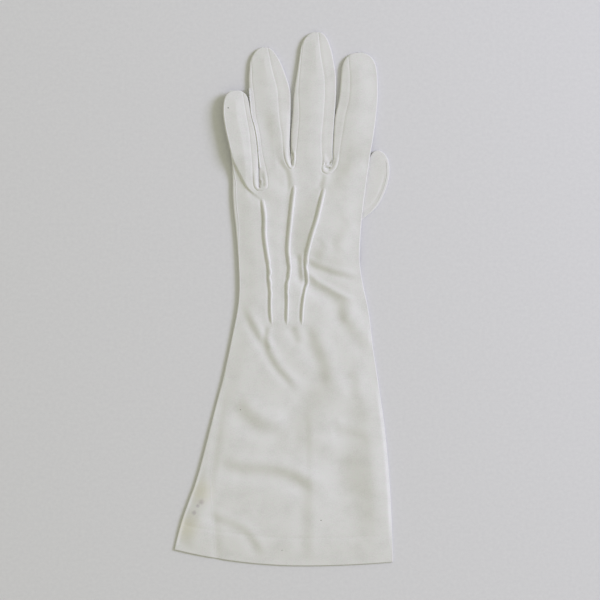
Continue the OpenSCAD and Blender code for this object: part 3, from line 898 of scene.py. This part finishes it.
def cuff_rows():
    hem_end = HEM_Y + HEM_DEPTH
    fold = HEM_Y + HEM_FOLD * (1 - np.cos(np.linspace(0, math.pi / 2, 6)))
    stitch = hem_end + np.array([-1.0, -0.55, -0.25, 0, 0.25, 0.55, 1.0])
    low = np.linspace(HEM_Y + HEM_FOLD, stitch[0], 19)[1:-1]
    high = np.linspace(stitch[-1], WRIST_Y, 140)[1:]
    return np.concatenate([fold, low, stitch, high])


def cuff_sheet(rows, columns, top, inset=0.0):
    x, v = across([left_side(rows) + inset, right_side(rows) - inset], [columns], rows)
    y = v + hem_rise(x, v)
    z = layer_height(x, y, rim_distance(EDGES, x, y), top)
    roll = HEM_FOLD * (1 - arc((v - HEM_Y) / HEM_FOLD))
    if not top:
        return points_of(x, y, z + roll)
    z = z - roll + side_seam_relief(x, y)
    z -= HEM_GROOVE * bell(v - HEM_Y - HEM_DEPTH, HEM_GROOVE_HALF) * ease((x - x[:, :1]) / 3)
    return points_of(x, y, z)


cuff_seam_y = np.linspace(HEM_Y + 5.5, WRIST_Y - 1, 90)
cuff_seam_low, cuff_seam_high = span(["cuff_side_seam"], 1, cuff_seam_y)
cuff_seam_line = np.stack([np.maximum((cuff_seam_low + cuff_seam_high) / 2, cuff_seam_low + 0.7),
                           cuff_seam_y], axis=1)


def side_seam_relief(x, y):
    """The cloth sinks a little along the side seam where it has rolled onto the back."""
    away, share = beside(cuff_seam_line, x, y, 12.0)
    shown = ease((-52 - y) / 25) * (1 - 0.6 * bell(y + 130, 12))
    return shown * -0.4 * bell(away - 0.5, 3.2)


def make_cuff():
    rows = cuff_rows()
    top = cuff_sheet(rows, CUFF_COLUMNS, True)
    under = cuff_sheet(rows, CUFF_UNDER, False)
    sleeve = make_piece("cuff_sleeve_cloth", [ring_of(top, under)], "trank_cloth", "cuff_sleeve")
    bend_wrist(sleeve)

    hem_rows = np.linspace(HEM_Y + 0.15, HEM_Y + HEM_DEPTH, 16)
    top = cuff_sheet(hem_rows, CUFF_COLUMNS, True, inset=CLOTH + HEM_INSET)
    under = cuff_sheet(hem_rows, CUFF_UNDER, False, inset=CLOTH + HEM_INSET)
    top[..., 2] -= CLOTH + HEM_SINK
    under[..., 2] += CLOTH + HEM_SINK
    hem = make_piece("turned_hem_cloth", [ring_of(top, under)], "hem_cloth", "cuff_turned_hem")
    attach(hem, "cuff")

    strip = strip_along(rounded(cuff_seam_line[::-1], 2.0), 0.3, 0.06, 0.2, 5)
    seam = make_piece("cuff_side_seam_thread", [strip], "seam_thread", "cuff_side_seam")
    bend_wrist(seam)

    pitch, length = 2.9, 1.7
    level = HEM_Y + HEM_DEPTH
    start = np.interp(level, cuff_seam_y, cuff_seam_line[:, 0]) + 1.0
    stitches = []
    for x in np.arange(start, right_side(level) - 3, pitch):
        along = x + length * np.linspace(0, 1, 5)
        line = np.stack([along, level + hem_rise(along, level)], axis=1)
        stitches.append(strip_along(line, 0.22, 0.1, 0.15, 5, ends=(0.4, 0.4)))
    row = make_piece("hem_stitches", stitches, "seam_thread", "cuff_hem_stitching")
    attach(row, "cuff")


def top_height(x, y):
    """Height of the upper layer at single places."""
    x, y = np.atleast_2d(np.asarray(x, float)), np.atleast_2d(np.asarray(y, float))
    hem = HEM_GROOVE * bell(hem_distance(x, y) - HEM_DEPTH, HEM_GROOVE_HALF)
    z = upper(x, y, distance(EDGES, x, y, EDGE_REACH))
    return (z + side_seam_relief(x, y) * (y < WRIST_Y) - hem)[0]


def strip_along(line, half, height, sink, columns=9, ends=(2.0, 2.0)):
    """A rounded rib over the upper layer along a line: a closed grid of points, capped at its ends."""
    d = np.gradient(line, axis=0)
    d /= np.hypot(d[:, 0], d[:, 1])[:, None]
    normal = np.stack([d[:, 1], -d[:, 0]], axis=1)
    length = np.concatenate([[0], np.cumsum(np.hypot(*np.diff(line, axis=0).T))])
    swell = arc(np.minimum(length / ends[0], (length[-1] - length) / ends[1]))
    half = np.broadcast_to(half, len(line))
    height = np.broadcast_to(height, len(line))
    turn = np.linspace(-math.pi / 2, math.pi / 2, columns)
    rows = []
    for p, n, s, half, height in zip(line, normal, swell, half, height):
        offset = np.sin(turn) * half * (0.25 + 0.75 * s)
        x, y = p[0] + n[0] * offset, p[1] + n[1] * offset
        base = top_height(x, y)
        over = points_of(x, y, base + height * np.cos(turn) ** 0.8 * s - 0.02)
        floor = points_of(x, y, base - sink)[::-1]
        rows.append(np.concatenate([over, floor, over[:1]]))
    return capped(np.array(rows))


def capped(grid):
    """The grid with its first and last rows closed to a point."""
    first, last = (np.repeat(end.mean(axis=1, keepdims=True), grid.shape[1], axis=1)
                   for end in (grid[:1], grid[-1:]))
    return np.concatenate([first, grid, last])


def make_points():
    for k, (node_name, line) in enumerate(POINT_LINES.items()):
        fine = rounded(line[::2], 0.6)
        y = fine[:, 1]
        kinks = ease(y / 5) * ease((30 - y) / 6)
        fine[:, 0] += 0.32 * np.sin(y / 1.5 + 2.0 * k) * np.sin(y / 4.1 + k) * kinks
        full = mix(0.62, 1, ease((y + 12) / 62)) * (1 + 0.12 * np.sin(y / 1.3 + k) * kinks)
        fade = mix(1, 0.25, ease((y - fine[-1, 1] + 9) / 9)) * mix(0.4, 1, ease((y - fine[0, 1]) / 9))
        rib = strip_along(fine, POINT_HALF * full, POINT_H * full * fade, 0.25, 13, ends=(3.0, 3.0))
        bend_wrist(make_piece(node_name + "_ridge", [rib], "point_ridge", node_name))


# ---- Hand ----

BACK_COLUMNS = {"little": 40, "ring": 34, "middle": 36, "index": 36}
BAND_COLUMNS = 10
HAND_FINE_FROM, HAND_FINE_STEP = 69.0, 0.35    # rows lie closer together by the crotches
WRIST_SHARES = (0.26, 0.50, 0.76)              # where the crotches' columns meet the wrist


def finger_spans(name):
    """Shares across a finger: its left band, its back and its right band."""
    bands = SEAM_INSET[name]
    spans = []
    if bands[0]:
        spans.append(shares(BAND_COLUMNS, edge_low=True))
    spans.append(shares(BACK_COLUMNS[name], edge_low=not bands[0], edge_high=not bands[1]))
    if bands[1]:
        spans.append(shares(BAND_COLUMNS, edge_high=True))
    return spans


def block_line(k, y):
    """The column line that runs down from crotch k to the wrist."""
    crotch = crotches[k]
    down = ease((crotch.bottom - y) / (crotch.bottom - WRIST_Y))
    return mix(crotch.centre(y), mix(left_side(WRIST_Y), right_side(WRIST_Y), WRIST_SHARES[k]), down)


def finger_lines(finger, y, hand):
    """The column lines of one finger, or of the part of the hand below it."""
    k = list(fingers).index(finger.name)
    left, right = finger.left_crotch, finger.right_crotch
    first, last = finger.left(y), finger.right(y)
    if hand:
        first = block_line(k - 1, y) + left.gap(y) if left else left_side(y)
        last = block_line(k, y) - right.gap(y) if right else right_side(y)
    lines = [first]
    for side, crotch, below in ((-1, left, k - 1), (1, right, k)):
        if crotch:
            seam = seam_x(finger, side, y)
            lines.append(np.where(y > crotch.bottom, seam, block_line(below, y)) if hand else seam)
    return lines + [last]


def sheet(finger, rows, spans, top, hand=False, plain=False):
    """A finger's upper or lower layer, or that of the part of the hand below it."""
    lines = finger_lines(finger, rows, hand)
    if plain:
        lines = [lines[0], lines[-1]]
    x, y = across(lines, spans, rows)
    ends = [rows > crotch.slot_bottom if hand and crotch else slice(None)
            for crotch in (finger.left_crotch, finger.right_crotch)]
    d = rim_distance(EDGES, x, y, left=ends[0], right=ends[1])
    return points_of(x, y, layer_height(x, y, d, top))


def make_hand():
    low = np.linspace(WRIST_Y, HAND_FINE_FROM, 118)
    fine = np.arange(HAND_FINE_FROM + HAND_FINE_STEP, HAND_TOP_Y - 0.2, HAND_FINE_STEP)
    rows = np.concatenate([low, fine, [HAND_TOP_Y]])
    cloth, forks = [], {k: [] for k in range(3)}
    for k, (name, finger) in enumerate(fingers.items()):
        own = np.append(rows[rows < finger.root - 0.1], finger.root)
        top = sheet(finger, own, finger_spans(name), True, hand=True)
        under = sheet(finger, own, [shares(14, True, True)], False, hand=True, plain=True)
        cloth.append(under[:, ::-1])
        start, end = 0, top.shape[1] - 1
        if finger.left_crotch:
            start = BAND_COLUMNS
            forks[k - 1].append(top[:, :start + 1])
        if finger.right_crotch:
            end -= BAND_COLUMNS
            forks[k].append(top[:, end:])
        cloth.append(top[:, start:end + 1])
    bend_wrist(make_piece("hand_trank_cloth", cloth, "trank_cloth", "hand_trank"))
    for k, crotch in enumerate(crotches):
        piece = make_piece(crotch.fork + "_cloth", forks[k], "fourchette_cloth", crotch.fork)
        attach(piece, "hand")


def edge_cord(seam, x, y):
    """A thin cord of seam over the upper layer."""
    line = rounded(np.stack([x, y], axis=1), 1.2)
    strip = strip_along(line, 0.35, 0.14, 0.25, 5, ends=(1.0, 1.0))
    return make_piece(seam + "_thread", [strip], "seam_thread", seam)


def make_side_seams():
    y = np.linspace(WRIST_Y, ROOT_Y["little"], 40)
    x = left_side(y) + mix(0.7, 2.4, ease((y - 30) / 22))
    bend_wrist(edge_cord("hand_side_seam", x, y))
    finger = fingers["little"]
    knuckle = KNUCKLE_Y["little"] - FOLD_RUN / 2
    for part, low, high in (("base", finger.root, knuckle), ("tip", knuckle, finger.tip - 6)):
        y = np.linspace(low + 0.05, high - 0.05, 24)
        x = finger.left(y) + mix(2.4, 0.8, ease((y - 74) / 14))
        bend_finger(edge_cord(f"little_{part}_side_seam", x, y))


# ---- Fingers ----

UNDER_BAND, UNDER_PALM = 5, 10    # columns of each fourchette and of the palm between them
UNDER_SPANS = [shares(UNDER_BAND, edge_low=True), shares(UNDER_PALM), shares(UNDER_BAND, edge_high=True)]
UNDER_SHARE = 0.2        # share of a finger's width that each fourchette covers underneath


def under_sheet(finger, rows):
    left, right = finger.left(rows), finger.right(rows)
    width = right - left
    lines = [left, left + UNDER_SHARE * width, right - UNDER_SHARE * width, right]
    x, y = across(lines, UNDER_SPANS, rows)
    return points_of(x, y, lower(x, y, rim_distance(EDGES, x, y)))


def make_finger(finger):
    name = finger.name
    knuckle = KNUCKLE_Y[name] - FOLD_RUN / 2
    base_rows = np.linspace(finger.root, knuckle, round((knuckle - finger.root) / 0.8) + 1)
    for part, rows in (("base", base_rows), ("tip", tip_rows(knuckle, finger.tip, 0.8, 7.0))):
        top = sheet(finger, rows, finger_spans(name), True)
        ring = ring_of(top, under_sheet(finger, rows))
        edge = top.shape[1] - 1
        left_band = BAND_COLUMNS if finger.left_crotch else 0
        right_seam = edge - (BAND_COLUMNS if finger.right_crotch else 0)
        palm_right, palm_left = edge + UNDER_BAND, edge + UNDER_BAND + UNDER_PALM
        left_fourchette = np.concatenate([ring[:, palm_left:], ring[:, 1:left_band + 1]], axis=1)
        cuts = {}
        if name == "index":
            cuts["trank"] = ring[:, left_band:palm_left + 1]
            cuts["fourchette"] = left_fourchette
        elif name == "little":
            cuts["back"] = ring[:, :right_seam + 1]
            cuts["fourchette"] = ring[:, right_seam:palm_right + 1]
            cuts["palm"] = ring[:, palm_right:]
        else:
            sides = {"ring": ("little", "middle"), "middle": ("ring", "index")}[name]
            cuts["back"] = ring[:, left_band:right_seam + 1]
            cuts[f"fourchette_{sides[1]}_side"] = ring[:, right_seam:palm_right + 1]
            cuts["palm"] = ring[:, palm_right:palm_left + 1]
            cuts[f"fourchette_{sides[0]}_side"] = left_fourchette
        for kind, grid in cuts.items():
            slot = "fourchette_cloth" if kind.startswith("fourchette") else "trank_cloth"
            replaced = f"{name}_{part}_{kind}"
            bend_finger(make_piece(replaced + "_cloth", [grid], slot, replaced))


# ---- Thumb ----

THUMB_R = 0.8            # radius of the folded edge
THUMB_SEAM_FROM = 58     # the side seam shows from here
CORD_HALF, CORD_RISE = 0.32, 0.16
HOLE_HALF, HOLE_RISE = 0.6, 0.12


def thumb_top(x, y, d):
    """The thumb's upper layer: a rolled outer rim with a sewn line inside it."""
    groove = 0.25 * np.exp(-((d - 3.2) / 0.5) ** 2) * (x > 50) * ease((84 - y) / 6)
    rise = (THUMB_H - 2 * THUMB_R - FLOOR_GAP) * ease(d / 5)
    return FLOOR_GAP + THUMB_R + cap_height(d, THUMB_R) + rise - groove


def make_thumb():
    rows = thumb_rows(0.9)
    x, y = across([thumb_left(rows), thumb_right(rows)], [shares(44, True, True)], rows)
    d = rim_distance(THUMB_EDGES, x, y, 12.0)
    top = points_of(x, y, thumb_top(x, y, d))
    under = points_of(x, y, FLOOR_GAP + THUMB_R - cap_height(d, THUMB_R))
    sheath = make_piece("thumb_cloth_sheath", [ring_of(top, under)], "thumb_cloth", "thumb_sheath")
    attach(sheath, "thumb")

    y = np.linspace(THUMB_SEAM_FROM, THUMB_HIGH - 7, 60)
    x = thumb_right(y) - 1.5
    turn = np.linspace(0, 2 * math.pi, 9)
    rim = distance(THUMB_EDGES, x[None, :], y[None, :], 12.0)
    centre = thumb_top(x[None, :], y[None, :], rim)[0] + 0.02
    cord = np.array([points_of(a + CORD_HALF * np.cos(turn), np.full(9, b), c + CORD_RISE * np.sin(turn))
                     for a, b, c in zip(x, y, centre)])
    seam = make_piece("thumb_side_seam_thread", [capped(cord)], "seam_thread", "thumb_side_seam")
    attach(seam, "thumb")

    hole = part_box("thumb_hole_seam")
    middle = (hole[0] + hole[1]) / 2 / MM
    radius = (hole[1].x - hole[0].x) / 2 / MM - 3.0
    ring = []
    for a in np.linspace(0, 2 * math.pi, 97):
        reach = radius + HOLE_HALF * np.cos(turn)
        z = THUMB_H + 0.02 + HOLE_RISE * np.sin(turn)
        ring.append(points_of(middle.x + reach * math.cos(a), middle.y + reach * math.sin(a), z))
    seam = make_piece("thumb_hole_seam_thread", [np.array(ring)], "seam_thread", "thumb_hole_seam")
    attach(seam, "thumb")


make_cuff()
make_hand()
make_points()
make_side_seams()
for one in fingers.values():
    make_finger(one)
make_thumb()

# ---- Floor, light and camera ----

FLOOR_HALF = 3.0         # half the floor's width, in metres


def make_floor():
    mesh = bpy.data.meshes.new("floor")
    corners = [(x * FLOOR_HALF, y * FLOOR_HALF, 0) for x, y in ((-1, -1), (1, -1), (1, 1), (-1, 1))]
    mesh.from_pydata(corners, [], [(0, 1, 2, 3)])
    floor = add_object("floor", mesh)
    paper = bpy.data.materials.new("floor")
    paper.use_nodes = True
    tree = paper.node_tree
    surface = tree.nodes["Principled BSDF"]
    surface.inputs["Roughness"].default_value = 0.85
    surface.inputs["Specular IOR Level"].default_value = 0.2
    place = node(tree, "ShaderNodeTexCoord").outputs["Object"]
    cloud = texture(tree, place, "Noise", Scale=420.0, Detail=6.0, Roughness=0.7)
    shades = ramp(tree, cloud, (0.3, (0.645, 0.643, 0.652)), (0.7, (0.695, 0.693, 0.698)))
    tree.links.new(shades, surface.inputs["Base Color"])
    mesh.materials.append(paper)


def make_light():
    data = bpy.data.lights.new("key", "AREA")
    data.shape = "DISK"
    data.size = 1.02
    data.energy = 50.0
    data.color = (0.75, 0.745, 1.0)
    lamp = add_object("key", data)
    lamp.location = (1.98, 0.74, 1.3)
    lamp.rotation_mode = "QUATERNION"
    lamp.rotation_quaternion = (-lamp.location).to_track_quat("-Z", "Y")
    world = bpy.data.worlds.new("room")
    world.use_nodes = True
    background = world.node_tree.nodes["Background"]
    background.inputs["Color"].default_value = (1.0, 1.0, 0.81, 1)
    background.inputs["Strength"].default_value = 0.555
    bpy.context.scene.world = world


def make_camera():
    view_width, height = 0.396, 1.3    # in metres
    data = bpy.data.cameras.new("camera")
    data.sensor_width = 36
    data.lens = 36 * height / view_width
    camera = add_object("camera", data)
    camera.location = (0.01106, -0.00083, height)
    bpy.context.scene.camera = camera


make_floor()
make_light()
make_camera()
bpy.context.scene.view_settings.view_transform = "Standard"
